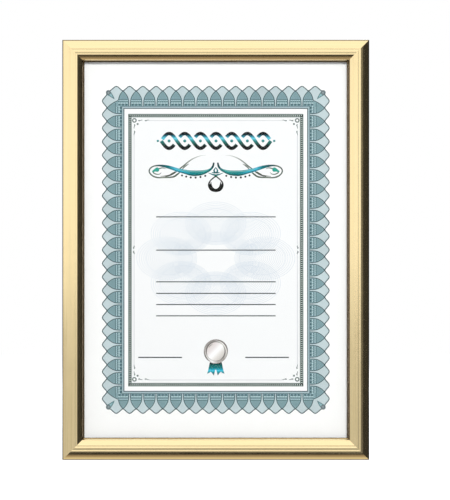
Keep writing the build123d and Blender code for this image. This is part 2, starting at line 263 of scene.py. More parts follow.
def make_gold_foil(name, along):
    """Gold foil over the moulding, with its bare core showing behind, a brown lip with painted
    shade at the sight edge, and a painted shade line along the outer edge.
    """
    finish, tree, shader = new_finish(name)
    stretch = [GRAIN_ALONG if axis == along else GRAIN_ACROSS for axis in "XYZ"]
    lines = grouped(tree, drawn_grain, {"Stretched Place": object_place(tree, scale=stretch)})
    foil = mixed(tree, spread(tree, lines["Line"], 0.35, 0.65, 0.0, 1.0), FOIL_DARK, FOIL_LIGHT)
    polish = calculated(tree, "ADD", spread(tree, lines["Line"], 0.3, 0.7, 0.13, 0.20),
                        spread(tree, lines["Blotch"], 0.35, 0.75, 0.0, 0.05))
    fibre = grouped(tree, pressed_fibre,
                    {"Fibre Scale": 420.0, "Light": colour(214, 190, 150),
                     "Dark": colour(164, 136, 98), "Speck Share": 0.25})

    # Distances across the rail, from the sight edge and from the outer edge
    across, depth, up = separated(tree, object_place(tree, SHEET_MIDDLE))
    away = [calculated(tree, "ABSOLUTE", part) for part in (across, up)]
    from_sight = calculated(tree, "MAXIMUM", *(calculated(tree, "SUBTRACT", part, half)
                                               for part, half in zip(away, SIGHT_HALF)))
    from_outer = calculated(tree, "MINIMUM", *(calculated(tree, "SUBTRACT", half, part)
                                               for part, half in zip(away, OUTER_HALF)))
    # Dark lip at the sight edge: partly the brown lip edge without foil, partly painted shade,
    # wider at the top rail than at the bottom.
    lip_shade_edge = spread(tree, up, -0.05, 0.05, *LIP_BROWN_AND_SHADE_REACHES[along])
    past_lip_shade = calculated(tree, "SUBTRACT", from_sight, lip_shade_edge)
    foil = mixed(tree, spread(tree, past_lip_shade, 0.0, LIP_BROWN_AND_SHADE_FADE, 1.0, 0.0), foil, LIP_BROWN_AND_SHADE)
    on_face = spread(tree, depth, CARVING_Y - 0.1 * MM, CARVING_Y, 1.0, 0.0)
    # Painted shade: a thin dark line along the outer edge of the front face, standing in for a dark
    # reflection there.
    arris_shade = calculated(tree, "MULTIPLY", spread(tree, from_outer, *ARRIS_SHADE_REACH, 1.0, 0.0), on_face)
    foil = mixed(tree, arris_shade, foil, ARRIS_PAINTED_SHADE)

    # Bare core on the back, satin foil on the outer flank
    core = spread(tree, depth, BACK_Y - 0.10 * MM, BACK_Y - 0.04 * MM, 0.0, 1.0)
    flank = calculated(tree, "MULTIPLY", spread(tree, from_outer, 0.05 * MM, 0.15 * MM, 1.0, 0.0),
                       spread(tree, depth, CARVING_Y, CARVING_Y + 0.6 * MM, 0.0, 1.0))
    metal = calculated(tree, "MULTIPLY", calculated(tree, "SUBTRACT", 1.0, core),
                       spread(tree, flank, 0.0, 1.0, 1.0, 0.35))
    polish = place(tree, "ShaderNodeMix", {0: flank, 2: polish, 3: 0.42}).outputs[0]
    rough = place(tree, "ShaderNodeMix", {0: core, 2: polish, 3: 0.85}).outputs[0]
    fill(tree, shader, {"Base Color": mixed(tree, core, foil, fibre["Colour"]),
                        "Metallic": metal, "Roughness": rough})
    add_relief(tree, shader, lines["Line"], 0.02 * MM, 0.25)
    return finish


def make_clear_glass():
    """Glass with an anti-glare coat, so it mirrors hardly anything from the front."""
    finish, tree, shader = new_finish("clear_glass")
    faint = grouped(tree, paper_tooth, {"Fibre Scale": 25.0, "Clouding": 0.0})
    fill(tree, shader, {"Base Color": (0.985, 1.0, 0.995, 1), "Transmission Weight": 1.0,
                        "IOR": 1.15,
                        "Roughness": spread(tree, faint["Height"], 0.3, 0.8, 0.0, 0.012)})
    clear = place(tree, "ShaderNodeBsdfTransparent", {0: grey(1)})
    path = place(tree, "ShaderNodeLightPath").outputs
    passing = calculated(tree, "MAXIMUM", path["Is Shadow Ray"], path["Is Diffuse Ray"])
    chosen = place(tree, "ShaderNodeMixShader",
                   {0: passing, 1: shader.outputs[0], 2: clear.outputs[0]})
    fill(tree, tree.nodes["Material Output"], {0: chosen.outputs[0]})
    return finish


def make_metal(name, light, dark, rough_low, rough_high):
    """Plated sheet metal and wire with handling marks."""
    finish, tree, shader = new_finish(name)
    stretched = object_place(tree, scale=(260.0, 1400.0, 1400.0))
    lines = grouped(tree, drawn_grain, {"Stretched Place": stretched})
    clouded = spread(tree, lines["Blotch"], 0.3, 0.7, 0.0, 1.0)
    rough = spread(tree, lines["Line"], 0.3, 0.7, rough_low, rough_high)
    fill(tree, shader, {"Base Color": mixed(tree, clouded, dark, light), "Metallic": 1.0,
                        "Roughness": rough})
    add_relief(tree, shader, lines["Line"], 0.03 * MM, 0.3)
    return finish


def make_board(name, light, dark, scale, specks, roughness, depth):
    """Hardboard or card made of matted fibres."""
    finish, tree, shader = new_finish(name)
    fibre = grouped(tree, pressed_fibre, {"Fibre Scale": scale, "Light": light, "Dark": dark,
                                          "Speck Share": specks})
    fill(tree, shader, {"Base Color": fibre["Colour"], "Roughness": roughness})
    add_relief(tree, shader, fibre["Height"], depth, 0.5)
    return finish


def dress(finish, *starts):
    """Give the CAD nodes whose names start so their finish, in their own material slots."""
    for name, piece in nodes.items():
        if name.startswith(starts):
            if not piece.material_slots:
                piece.data.materials.append(finish)
            for slot in piece.material_slots:
                slot.material = finish


dress(make_gold_foil("gold_foil_upright", "Z"), "rail_left", "rail_right")
dress(make_gold_foil("gold_foil_level", "X"), "rail_top", "rail_bottom")
dress(make_clear_glass(), "glass_pane")
dress(make_metal("zinc_plate", (0.66, 0.67, 0.69, 1), (0.52, 0.53, 0.56, 1), 0.28, 0.42),
      "easel_hinge_", "hinge_", "turn_button_", "corner_nails_")
dress(make_metal("brass_plate", (0.86, 0.66, 0.33, 1), (0.74, 0.53, 0.24, 1), 0.22, 0.36),
      "top_hanger_", "side_hanger_", "hanger_rivets", "button_screws")
dress(make_board("brown_hardboard", colour(150, 108, 72), colour(104, 70, 44),
                 520.0, 0.35, 0.55, 0.05 * MM), "backing_board", "easel_strut")
dress(make_board("packing_card", colour(196, 178, 150), colour(160, 138, 108),
                 800.0, 0.2, 0.9, 0.05 * MM), "backing_card")


# Inks
# An ink has one colour, or a run of colours along or up the sheet.

def on_paper_tooth(tree, shader, ink_colour, roughness, clouding):
    """Join an ink colour to the shader through the paper's own texture."""
    tooth = grouped(tree, paper_tooth, {"Fibre Scale": 1100.0, "Clouding": clouding})
    fill(tree, shader, {"Base Color": mixed(tree, 1.0, ink_colour, tooth["Shade"], "MULTIPLY"),
                        "Roughness": roughness, "Specular IOR Level": 0.2})
    add_relief(tree, shader, tooth["Height"], 0.01 * MM, 0.2)


def plain_ink(name, red, green, blue, clouding=0.12):
    """Ink of one colour."""
    finish, tree, shader = new_finish(name)
    on_paper_tooth(tree, shader, colour(red, green, blue), 0.6, clouding)
    return finish


def run_ink(name, axis, low, high, stops, mirrored=False):
    """Ink whose colour runs from low to high along an axis, in mm from the sheet's middle."""
    finish, tree, shader = new_finish(name)
    value = separated(tree, object_place(tree, SHEET_MIDDLE))[axis]
    if mirrored:
        value = calculated(tree, "ABSOLUTE", value)
    share = spread(tree, value, low * MM, high * MM, 0.0, 1.0)
    stops = [((at - low) / (high - low), colour(*rgb)) for at, *rgb in stops]
    on_paper_tooth(tree, shader, ramp(tree, share, stops), 0.5, 0.08)
    return finish


# Drawing on the sheet
# Places on the sheet are in mm from its middle: across to the right, and up.

def on_sheet(across, up):
    """Point on the paper, where every ink starts."""
    return Vector((across * MM, PAPER_FRONT + INK_SUNK, SHEET_MIDDLE_Z + up * MM))


def closed_edges(bm, points):
    """Edges round a closed line of points."""
    ring = [bm.verts.new(on_sheet(across, up)) for across, up in points]
    return [bm.edges.new((ring[i - 1], ring[i])) for i in range(len(ring))]


def outline(bm, points):
    """Flat shape inside a closed line of points."""
    bmesh.ops.contextual_create(bm, geom=closed_edges(bm, points))


def fill_between(bm, outer, inner):
    """Flat shape between two closed lines of any number of points."""
    bmesh.ops.triangle_fill(bm, use_beauty=True, use_dissolve=False,
                            edges=closed_edges(bm, outer) + closed_edges(bm, inner))


def smooth_line(points, steps, closed=False):
    """Points on a smooth line through the given ones; each may carry a width as well."""
    points = [Vector(tuple(point) + (0,) * (3 - len(point))) for point in points]
    lead, trail = (points[-1:], points[:2]) if closed else (points[:1], points[-1:])
    chain = lead + points + trail
    line = []
    for before, first, second, after in zip(chain, chain[1:], chain[2:], chain[3:]):
        handles = (first + (second - before) / 6, second - (after - first) / 6)
        line += interpolate_bezier(first, *handles, second, steps + 1)[:-1]
    return line if closed else line + points[-1:]


def stroke(bm, line, closed=False):
    """Flat pen stroke along points that carry their widths."""
    befores = (line[-1:] if closed else line[:1]) + line
    if closed:
        line = line + line[:1]
    afters = line[1:] + (line[1:2] if closed else line[-1:])
    columns = len(line)
    made = bmesh.ops.create_grid(bm, x_segments=columns - 1, y_segments=1, size=1)["verts"]
    for side, row in ((-0.5, made[:columns]), (0.5, made[columns:])):
        for vertex, before, here, after in zip(row, befores, line, afters):
            way = Vector((after.x - before.x, after.y - before.y)).normalized()
            reach = side * here.z
            vertex.co = on_sheet(here.x - way.y * reach, here.y + way.x * reach)
    if closed:
        bmesh.ops.remove_doubles(bm, verts=made, dist=1e-7)


def round_line(middle, radii, width, points=72):
    """Closed round line of one width."""
    return [Vector((middle[0] + radii[0] * math.sin(turn),
                    middle[1] + radii[1] * math.cos(turn), width))
            for turn in (math.tau * number / points for number in range(points))]


def disc(bm, across, up, radius, segments=20):
    """Round dot."""
    made = bmesh.ops.create_circle(bm, cap_ends=True, radius=radius * MM, segments=segments)
    bmesh.ops.rotate(bm, verts=made["verts"], cent=(0, 0, 0),
                     matrix=Matrix.Rotation(math.radians(90), 3, "X"))
    bmesh.ops.translate(bm, verts=made["verts"], vec=on_sheet(across, up))


def box_corners(half_width, half_height):
    """Corners of a rectangle round the sheet's middle."""
    return [(-half_width, -half_height), (half_width, -half_height),
            (half_width, half_height), (-half_width, half_height)]


def block(bm, across, up, half_width, half_height):
    """Flat rectangle round a point."""
    outline(bm, [(across + x, up + z) for x, z in box_corners(half_width, half_height)])


def print_ink(name, draw, level, finish, *details):
    """Draw with a pen function, and give the ink its thickness: inks that cross need two levels."""
    bm = bmesh.new()
    draw(bm, *details)
    raised = bmesh.ops.extrude_face_region(bm, geom=bm.faces[:])["geom"]
    moved = [item for item in raised if isinstance(item, bmesh.types.BMVert)]
    bmesh.ops.translate(bm, verts=moved, vec=(0, -INK_SUNK - INK_STEP * (level + 1), 0))
    finish_piece(bm, name, finish)


def finish_piece(bm, name, finish):
    """Turn a bmesh into a finished piece of the paper, on the frame body."""
    bmesh.ops.recalc_face_normals(bm, faces=bm.faces[:])
    piece = new_object(bm, name, finish)
    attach(piece, "frame")
    return piece


def new_object(bm, name, finish):
    """Object with the bmesh as its mesh, in the scene."""
    mesh = bpy.data.meshes.new(name)
    bm.to_mesh(mesh)
    bm.free()
    mesh.materials.append(finish)
    piece = bpy.data.objects.new(name, mesh)
    bpy.context.scene.collection.objects.link(piece)
    return piece


def lay_paper():
    """Thin sheet with softened edges, in the place of the solid sheet."""
    finish, tree, shader = new_finish("certificate_paper")
    on_paper_tooth(tree, shader, (0.945, 0.947, 0.945, 1), 0.7, 0.012)
    bm = bmesh.new()
    bmesh.ops.create_cube(bm, size=1)
    size = SHEET_HIGH - SHEET_LOW
    bmesh.ops.scale(bm, verts=bm.verts, vec=(size.x, PAPER_THICKNESS, size.z))
    bmesh.ops.bevel(bm, geom=bm.edges[:], offset=0.03 * MM, offset_type="OFFSET", segments=2,
                    profile=0.5, affect="EDGES", material=-1)
    bmesh.ops.translate(bm, verts=bm.verts,
                        vec=(0, PAPER_FRONT + PAPER_THICKNESS / 2, SHEET_MIDDLE_Z))
    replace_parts(finish_piece(bm, "certificate_paper", finish), "certificate_sheet")


lay_paper()


# Engraved border
# It is drawn from the outer corner of the border: along an edge, and inwards.
BORDER_HALF = (87.5, 126.1)
BORDER_DEPTH = 17.55
SIDES_NARROWER = 0.4
SCALLOP_COUNTS = (16, 23)
FIRST_SCALLOPS = (10.9, 11.5)
VALLEY_DEPTH = 3.75
NOTCH_POINT = (4.7, 4.9)
SAME_POINT = 0.05
TONGUE_DEPTH = 15.7
SCALLOP_PEN = 0.74
TONGUE_PEN = 0.58
HATCH_PEN = 0.26
HATCH_FOOT = 9.7
CORNERS = ((-1, 1), (1, 1), (1, -1), (-1, -1))


def from_corner(side, corner):
    """Function that puts (along, inwards) of one edge, from one corner, on the sheet."""
    right, top = corner

    def put(along, inwards):
        if side == 0:
            return (right * (BORDER_HALF[0] - along), top * (BORDER_HALF[1] - inwards))
        return (right * (BORDER_HALF[0] - inwards), top * (BORDER_HALF[1] - along))

    return put


def edge_layout(side):
    """First scallop, spacing and count along a level (0) or upright (1) edge."""
    first = FIRST_SCALLOPS[side]
    count = SCALLOP_COUNTS[side]
    return first, 2 * (BORDER_HALF[side] - first) / (count - 1), count


def scallop_back(half, apex=0.0, valley=VALLEY_DEPTH):
    """Pointed outer edge of one scallop, from one valley to the next, from its middle."""
    rise = [(-half, valley), (-0.77 * half, 0.79 * valley), (-0.59 * half, 0.58 * valley),
            (-0.42 * half, 0.375 * valley), (-0.22 * half, 0.15 * valley), (0, apex)]
    return rise + [(-along, inwards) for along, inwards in reversed(rise[:-1])]


def tongue_flank(half):
    """One flank of a tongue, from its tip down to its foot: (offset, inwards)."""
    return [(0.0, VALLEY_DEPTH), (0.29 * half, 5.1), (0.57 * half, 7.1), (0.76 * half, 9.1),
            (0.84 * half, 11.1), (0.87 * half, 13.1), (0.88 * half, TONGUE_DEPTH)]


def each_edge():
    """Yield every edge once, with its layout and a function that puts points on it."""
    for side, corner in ((0, (-1, 1)), (0, (1, -1)), (1, (-1, -1)), (1, (1, 1))):
        yield side, edge_layout(side), from_corner(side, corner)


def each_tongue():
    """Yield every tongue: edge, number along it, last number, half width, middle, function."""
    for side, (first, pitch, count), put in each_edge():
        for number in range(count - 1):
            yield side, number, count - 2, pitch / 2, first + (number + 0.5) * pitch, put


def each_corner():
    """Yield the function that puts points in each corner."""
    for corner in CORNERS:
        yield from_corner(0, corner)


def draw_ground(bm):
    """Pale ground of the border, cut to its scalloped outer edge."""
    loop = []
    for side, corner in zip((0, 1, 0, 1), CORNERS):
        first, pitch, count = edge_layout(side)
        put = from_corner(side, corner)
        for number in range(count):
            middle = first + number * pitch
            loop += [put(middle + along, inwards) for along, inwards in scallop_back(pitch / 2)]
        loop.append(put(2 * BORDER_HALF[side] - NOTCH_POINT[0], NOTCH_POINT[1]))
    # Neighbouring scallops share their valley, which is kept once.
    cleaned = [point for point, before in zip(loop, loop[-1:] + loop)
               if math.dist(point, before) > SAME_POINT]
    inner_x, inner_z = (half - BORDER_DEPTH for half in BORDER_HALF)
    fill_between(bm, cleaned, box_corners(inner_x + SIDES_NARROWER, inner_z))


def corner_tips():
    """Distance from a corner to the tip of the first tongue along each edge."""
    return [first + pitch / 2 for first, pitch, _ in (edge_layout(0), edge_layout(1))]


def corner_flank():
    """Outer flank of the two tongues that join at a corner: (along, inwards)."""
    level_tip, upright_tip = corner_tips()
    first_half = [(level_tip, VALLEY_DEPTH), (14.4, 5.6), (13.2, 8.0), (12.5, 11.0)]
    second_half = [(12.5, 11.0), (9.6, 12.3), (6.6, 14.2), (VALLEY_DEPTH, upright_tip)]
    return smooth_line(first_half, 3) + smooth_line(second_half, 3)[1:]


def draw_tongues(bm):
    """Dark tongues between the scallops."""
    for _, number, last, half, middle, put in each_tongue():
        if 0 < number < last:
            flank = smooth_line(tongue_flank(half), 3)
            outline(bm, [put(middle - p.x, p.y) for p in flank]
                    + [put(middle + p.x, p.y) for p in reversed(flank[1:])])
    level_tip, upright_tip = corner_tips()
    level, upright = (smooth_line(tongue_flank(edge_layout(side)[1] / 2), 3)[1:]
                      for side in (0, 1))
    for put in each_corner():
        outline(bm, [put(p.x, p.y) for p in corner_flank()]
                + [put(p.y, upright_tip + p.x) for p in upright]
                + [put(TONGUE_DEPTH, TONGUE_DEPTH)]
                + [put(level_tip + p.x, p.y) for p in reversed(level)])


def draw_edge_lines(bm):
    """Dark lines round the scallops and down the tongues."""
    for _, (first, pitch, count), put in each_edge():
        for number in range(count):
            middle = first + number * pitch
            line = [put(middle + along, inwards) + (SCALLOP_PEN,)
                    for along, inwards in scallop_back(pitch / 2, 0.15)]
            stroke(bm, smooth_line(line, 1))
    for _, number, last, half, middle, put in each_tongue():
        for hand in (-1, 1):
            # The outermost two flanks of an edge are drawn with the corners.
            if (number, hand) not in ((0, -1), (last, 1)):
                line = [put(middle + hand * along, inwards) + (TONGUE_PEN,)
                        for along, inwards in tongue_flank(half)]
                stroke(bm, smooth_line(line, 3))
    for put in each_corner():
        stroke(bm, smooth_line([put(p.x, p.y) + (TONGUE_PEN,) for p in corner_flank()], 1))


CORNER_WEDGE = ((6.0, 3.7), (7.5, 5.6), (8.8, 8.0), (9.7, 10.3), (7.8, 9.1), (5.5, 7.7),
                (3.6, 6.7))
WEDGE_HEART = ((6.3, 5.0), (7.2, 6.4), (7.9, 7.7), (8.4, 8.8), (7.3, 8.1), (6.1, 7.3),
               (4.9, 6.6))


def draw_in_corners(bm, points):
    """The same closed shape in every corner."""
    for put in each_corner():
        outline(bm, [put(*point) for point in points])


def draw_corner_dots(bm, along, inwards, radius, segments):
    """Round dot in every corner."""
    for put in each_corner():
        disc(bm, *put(along, inwards), radius, segments)


def draw_tongue_hatch(bm):
    """Fine engraved lines down the upper part of each tongue."""
    for *_, half, middle, put in each_tongue():
        for share, start in ((0.0, 5.2), (0.16, 5.6), (-0.16, 5.6), (0.32, 6.6), (-0.32, 6.6),
                             (0.48, 7.8), (-0.48, 7.8)):
            line = [put(middle + share * half, inwards) + (HATCH_PEN,)
                    for inwards in (start, HATCH_FOOT)]
            stroke(bm, smooth_line(line, 1))


def repeat_in_tongues(bm, shape):
    """Draw a shape in every tongue, from (offset, inwards) points."""
    for side, *_, half, middle, put in each_tongue():
        to_end = min(middle, 2 * BORDER_HALF[side] - middle)
        hand = 1 if to_end == middle else -1
        for points in shape(half):
            # In a corner square only the level edge keeps its marks.
            reach = max(to_end + hand * along for along, _ in points)
            if side == 0 or reach >= TONGUE_DEPTH:
                outline(bm, [put(middle + along, inwards) for along, inwards in points])


def bar(low, high, inwards, depth):
    """Small bar across a tongue."""
    return [(low, inwards), (high, inwards), (high, inwards + depth), (low, inwards + depth)]


def dash_row(half, count, inwards, depth, share=0.62, reach=0.78):
    """Row of dashes across a tongue."""
    pitch = 2 * reach * half / count
    start = -reach * half
    return [bar(start + pitch * (i + (1 - share) / 2), start + pitch * (i + (1 + share) / 2),
                inwards, depth) for i in range(count)]


def dark_marks(half):
    """Bar and two rows of dashes."""
    return [bar(-0.74 * half, 0.74 * half, 9.95, 0.5), *dash_row(half, 5, 11.6, 0.75),
            *dash_row(half, 3, 13.7, 1.3, 0.66)]


def light_marks(half):
    """Two rows of dashes between the dark ones."""
    return dash_row(half, 5, 10.75, 0.55) + dash_row(half, 4, 12.7, 0.7, 0.7)


def draw_frame_line(bm, half_width, half_height, width, lift=0.0):
    """Rectangular line round the sheet's middle, its outer edge at the given halves."""
    outer, inner = ([(x, z + lift) for x, z in box_corners(half_width - less, half_height - less)]
                    for less in (0, width))
    bmesh.ops.bridge_loops(bm, edges=closed_edges(bm, outer) + closed_edges(bm, inner))


for name, draw, details, level, *ink in (
        ("border_ground", draw_ground, (), 0, "pale_blue_grey_ink", 205, 221, 225, 0.3),
        ("border_tongues", draw_tongues, (), 1, "mid_teal_grey_ink", 138, 170, 176, 0.25),
        ("border_edge_lines", draw_edge_lines, (), 2, "dark_teal_grey_ink", 56, 82, 88),
        ("border_corner_wedges", draw_in_corners, (CORNER_WEDGE,), 2,
         "corner_teal_ink", 84, 122, 128),
        ("border_wedge_hearts", draw_in_corners, (WEDGE_HEART,), 3,
         "wedge_light_ink", 146, 184, 190),
        ("border_corner_caps", draw_corner_dots, (4.75, 4.95, 1.9, 20), 4,
         "cap_grey_ink", 104, 118, 122),
        ("border_cap_hearts", draw_corner_dots, (4.9, 5.1, 0.75, 12), 5,
         "cap_light_ink", 146, 158, 162),
        ("border_tongue_hatch", draw_tongue_hatch, (), 2, "hatch_teal_ink", 104, 136, 142),
        ("border_dark_marks", repeat_in_tongues, (dark_marks,), 2, "deep_teal_ink", 72, 104, 112),
        ("border_light_marks", repeat_in_tongues, (light_marks,), 2,
         "light_teal_ink", 186, 210, 215)):
    print_ink(name, draw, level, plain_ink(*ink), *details)
for name, inwards, width, level, *ink in (
        ("border_foot_band", 15.7, 1.1, 3, "foot_band_ink", 172, 194, 200),
        ("border_foot_line_outer", 15.4, 0.4, 4, "foot_line_ink", 74, 102, 108),
        ("border_foot_line_inner", 16.75, 0.8, 4, "foot_grey_ink", 88, 104, 111)):
    print_ink(name, draw_frame_line, level, plain_ink(*ink),
              BORDER_HALF[0] - inwards + SIDES_NARROWER, BORDER_HALF[1] - inwards, width)


# Band of squares
BAND_HALF = (67.5, 105.0)
BAND_LIFT = -0.2
BAND_WIDTH = 2.8
BAND_EDGE = 0.8
SQUARE_PITCH = 1.58
BLOCK_HALF = (0.46, 0.68)


def draw_squares(bm):
    """Small dark blocks all along the band."""
    mid_x, mid_z = (half - BAND_WIDTH / 2 for half in BAND_HALF)
    for half_run, offset, level_run in ((BAND_HALF[0], mid_z, True), (mid_z, mid_x, False)):
        count = round(2 * half_run / SQUARE_PITCH)
        pitch = 2 * half_run / count
        for number in range(count):
            along = -half_run + pitch * (number + 0.5)
            for side in (-1, 1):
                middle, half = (along, side * offset), BLOCK_HALF
                if not level_run:
                    middle, half = middle[::-1], half[::-1]
                block(bm, middle[0], middle[1] + BAND_LIFT, *half)


print_ink("square_band", draw_frame_line, 0, plain_ink("band_grey_green_ink", 124, 140, 135),
          *BAND_HALF, BAND_WIDTH, BAND_LIFT)
print_ink("square_band_light", draw_frame_line, 1, plain_ink("band_light_ink", 198, 210, 205),
          *(half - BAND_EDGE for half in BAND_HALF), BAND_WIDTH - 2 * BAND_EDGE, BAND_LIFT)
print_ink("square_band_blocks", draw_squares, 2, plain_ink("band_block_ink", 14, 22, 19, 0.4))


# Inner panel
PANEL_WASH_HALF = (64.8, 102.1)
PANEL_LINE_HALF = (62.9, 99.9)
PANEL_LINE_PEN = 0.7
PANEL_LIFT = -0.3
LINE_START = 11.5
SIDE_GAP = 4.0
SCROLL_RING = 1.35
RING_PEN = 0.95
# Scrolls: (share of the length, rise, width)
CORNER_SCROLL = ((0, 0.0, 0.7), (0.25, -0.25, 0.9), (0.5, 0.0, 0.55), (0.8, 0.25, 0.45),
                 (1, 0.1, 0.2))
SIDE_SCROLL = ((0, 0.0, 0.4), (0.35, 0.4, 0.9), (0.7, -0.2, 0.6), (1, 0.2, 0.2))


def draw_panel_lines(bm):
    """Pale line just inside the band, open at the corners and where the side scrolls are."""
    half_x, half_z = PANEL_LINE_HALF
    low, high = SIDE_GAP, half_z - LINE_START
    for side in (-1, 1):
        block(bm, 0, side * half_z + PANEL_LIFT, half_x - LINE_START, PANEL_LINE_PEN / 2)
        for end in (-1, 1):
            block(bm, side * half_x, end * (low + high) / 2, PANEL_LINE_PEN / 2, (high - low) / 2)


def draw_scroll_marks(bm):
    """Ring, dot and small scrolls in each corner, and a pair of scrolls at each side."""
    half_x, half_z = PANEL_LINE_HALF
    for right in (-1, 1):
        for top in (-1, 1):
            x, z = right * (half_x - 0.2), top * (half_z - 0.2)
            stroke(bm, round_line((x, z), (SCROLL_RING, SCROLL_RING), RING_PEN, 16), True)
            disc(bm, x - right * 2.5, z - top * 2.8, 0.8, 12)
            for start, length in ((3.0, 3.4), (8.0, 3.6)):
                along = [(start + length * share, rise, width)
                         for share, rise, width in CORNER_SCROLL]
                for line in ([(x - right * far, z + top * rise, width)
                              for far, rise, width in along],
                             [(x + right * rise, z - top * far, width)
                              for far, rise, width in along]):
                    stroke(bm, smooth_line(line, 4))
        for hand in (-1, 1):
            line = [(right * (half_x + rise), hand * (0.6 + 3.0 * share), width)
                    for share, rise, width in SIDE_SCROLL]
            stroke(bm, smooth_line(line, 4))


print_ink("panel_wash", block, 0, plain_ink("panel_wash_ink", 241, 242, 243, 0.01),
          0, 0, *PANEL_WASH_HALF)
print_ink("panel_lines", draw_panel_lines, 1, plain_ink("pale_grey_ink", 222, 223, 226))
print_ink("panel_scroll_marks", draw_scroll_marks, 1, plain_ink("scroll_grey_ink", 114, 127, 125))


# Rosette, drawn faintly behind the ruled lines
# Its loops are counted and measured in shares of the rosette's halves.
ROSETTE_MIDDLE = (0.0, -6.5)
ROSETTE_HALF = (60.9, 43.4)
ROSETTE_LOOPS = 8
ROSETTE_PEN = 0.22
LOOP_ROOT = 0.49
LOOP_DRIFT = 0.13
LOOP_REACHES = (0.38, 0.357, 0.335, 0.314, 0.296, 0.286,
                *(0.268 - 0.018 * number for number in range(15)))


def draw_rosette_loops(bm, first):
    """Every second loop of the ring, as nested lines that close up towards its root."""
    for number in range(first, ROSETTE_LOOPS, 2):
        angle = math.tau * number / ROSETTE_LOOPS
        for reach in LOOP_REACHES:
            away = LOOP_ROOT + LOOP_DRIFT * reach / LOOP_REACHES[0]
            middle = (ROSETTE_MIDDLE[0] + ROSETTE_HALF[0] * away * math.sin(angle),
                      ROSETTE_MIDDLE[1] + ROSETTE_HALF[1] * away * math.cos(angle))
            stroke(bm, round_line(middle, [half * reach for half in ROSETTE_HALF], ROSETTE_PEN),
                   True)


rosette_ink = plain_ink("rosette_blue_ink", 208, 218, 228)
print_ink("rosette_upright_loops", draw_rosette_loops, 1, rosette_ink, 0)
print_ink("rosette_slanting_loops", draw_rosette_loops, 2, rosette_ink, 1)


# Ruled lines for writing and for two signatures

def draw_level_lines(bm, heights, spans, width):
    """Straight lines at every height, each from low to high across."""
    for up in heights:
        for low, high in spans:
            stroke(bm, [Vector((across, up, width)) for across in (low, (low + high) / 2, high)])


print_ink("ruled_lines", draw_level_lines, 3, plain_ink("ruled_line_ink", 62, 72, 72),
          (25.4, -0.2, -24.6, -33.5, -42.1, -50.8), [(-45.9, 46.1)], 0.78)
print_ink("signature_lines", draw_level_lines, 3, plain_ink("signature_line_ink", 50, 56, 58),
          [-82.8], [(-59.7, -26.0), (22.7, 56.3)], 0.86)


# Heading place: a braid of two strands
BRAID_MIDDLE = (0.2, 83.9)
BRAID_HALF = (42.2, 5.7)
BRAID_LOOPS = 7
BRAID_PEN = 2.7
UNDER_GAP = 0.17
END_GAP = 0.07
EYE_RADIUS = 1.15
END_DOT_RADIUS = 0.9
END_DOT_AWAY = 2.6


def braid_along(loops):
    """Place across the sheet, counted in loops from the braid's left end."""
    return BRAID_MIDDLE[0] + BRAID_HALF[0] * (2 * loops / BRAID_LOOPS - 1)


def braid_strand(hand, start, end, steps):
    """Stretch of one strand, from start to end counted in loops."""
    line = []
    for number in range(steps + 1):
        loops = start + (end - start) * number / steps
        rise = hand * BRAID_HALF[1] * math.sin(math.pi * loops)
        line.append(Vector((braid_along(loops), BRAID_MIDDLE[1] + rise, BRAID_PEN)))
    return line


def draw_braid(bm):
    """Two strands that pass over and under each other by turns."""
    for hand in (-1, 1):
        cuts = [0.0 if hand < 0 else END_GAP]
        for crossing in range(1, BRAID_LOOPS):
            if (crossing + (hand > 0)) % 2:
                cuts += [crossing - UNDER_GAP, crossing + UNDER_GAP]
        cuts.append(BRAID_LOOPS - cuts[0])
        for start, end in zip(cuts[::2], cuts[1::2]):
            stroke(bm, braid_strand(hand, start, end, 12 * max(1, round(end - start))))


def draw_braid_eyes(bm):
    """Dot in each loop of the braid, and one past each end."""
    for number in range(BRAID_LOOPS):
        disc(bm, braid_along(number + 0.5), BRAID_MIDDLE[1], EYE_RADIUS)
    for side in (-1, 1):
        disc(bm, BRAID_MIDDLE[0] + side * (BRAID_HALF[0] + END_DOT_AWAY), BRAID_MIDDLE[1],
             END_DOT_RADIUS, 16)


braid_ink = run_ink("braid_ink", "Z", 77.4, 90.6, [
    (77.4, 4, 6, 8), (80.0, 10, 22, 20), (82.4, 30, 92, 84), (84.0, 44, 134, 134),
    (85.9, 104, 206, 228), (87.6, 24, 110, 128), (88.8, 4, 22, 28), (90.4, 2, 4, 6)])
print_ink("heading_braid", draw_braid, 3, braid_ink)
print_ink("heading_braid_eyes", draw_braid_eyes, 3, braid_ink)


# Flourish under the heading
# Each pen line is given for the right half, as (across, up, width) from the sheet's middle,
# and each dot as (across, up, radius).
PEN_WEIGHT = 1.15
DOT_WEIGHT = 1.1
HAIR_LINE = [(7.6, 72.8, 0.15), (11.0, 72.6, 0.35), (15.0, 71.4, 0.6), (18.6, 69.6, 0.8),
             (21.8, 67.3, 0.85), (24.6, 64.9, 0.85), (27.6, 62.6, 0.8), (30.4, 60.3, 0.8),
             (33.4, 58.3, 0.9), (36.6, 57.2, 0.8), (42.5, 56.6, 0.3)]
LOOP_LINE = [(20.7, 66.2, 0.3), (22.9, 64.9, 0.9), (24.7, 63.4, 0.8), (25.8, 62.0, 0.6),
             (28.0, 59.5, 0.8), (29.8, 58.0, 1.1), (32.0, 56.5, 1.1), (34.9, 55.9, 1.0),
             (39.9, 55.7, 0.8), (43.6, 55.6, 0.9), (46.9, 56.2, 1.0), (49.4, 57.6, 0.9),
             (50.9, 59.4, 0.9), (51.2, 61.3, 0.9), (50.1, 63.1, 0.9), (47.6, 64.5, 0.9),
             (43.9, 65.0, 1.1), (41.0, 64.7, 1.2)]
RIBBON_LINE = [(45.8, 64.9, 0.2), (43.9, 65.0, 0.9), (40.3, 64.6, 1.6), (36.3, 63.7, 2.1),
               (32.7, 62.6, 2.3), (29.0, 61.4, 2.5), (23.6, 60.1, 2.9), (20.0, 59.3, 3.4),
               (16.3, 59.0, 3.7), (10.9, 59.4, 3.2), (6.2, 60.9, 2.0), (3.6, 62.4, 1.4),
               (2.15, 64.5, 1.35), (1.5, 67.2, 1.0)]
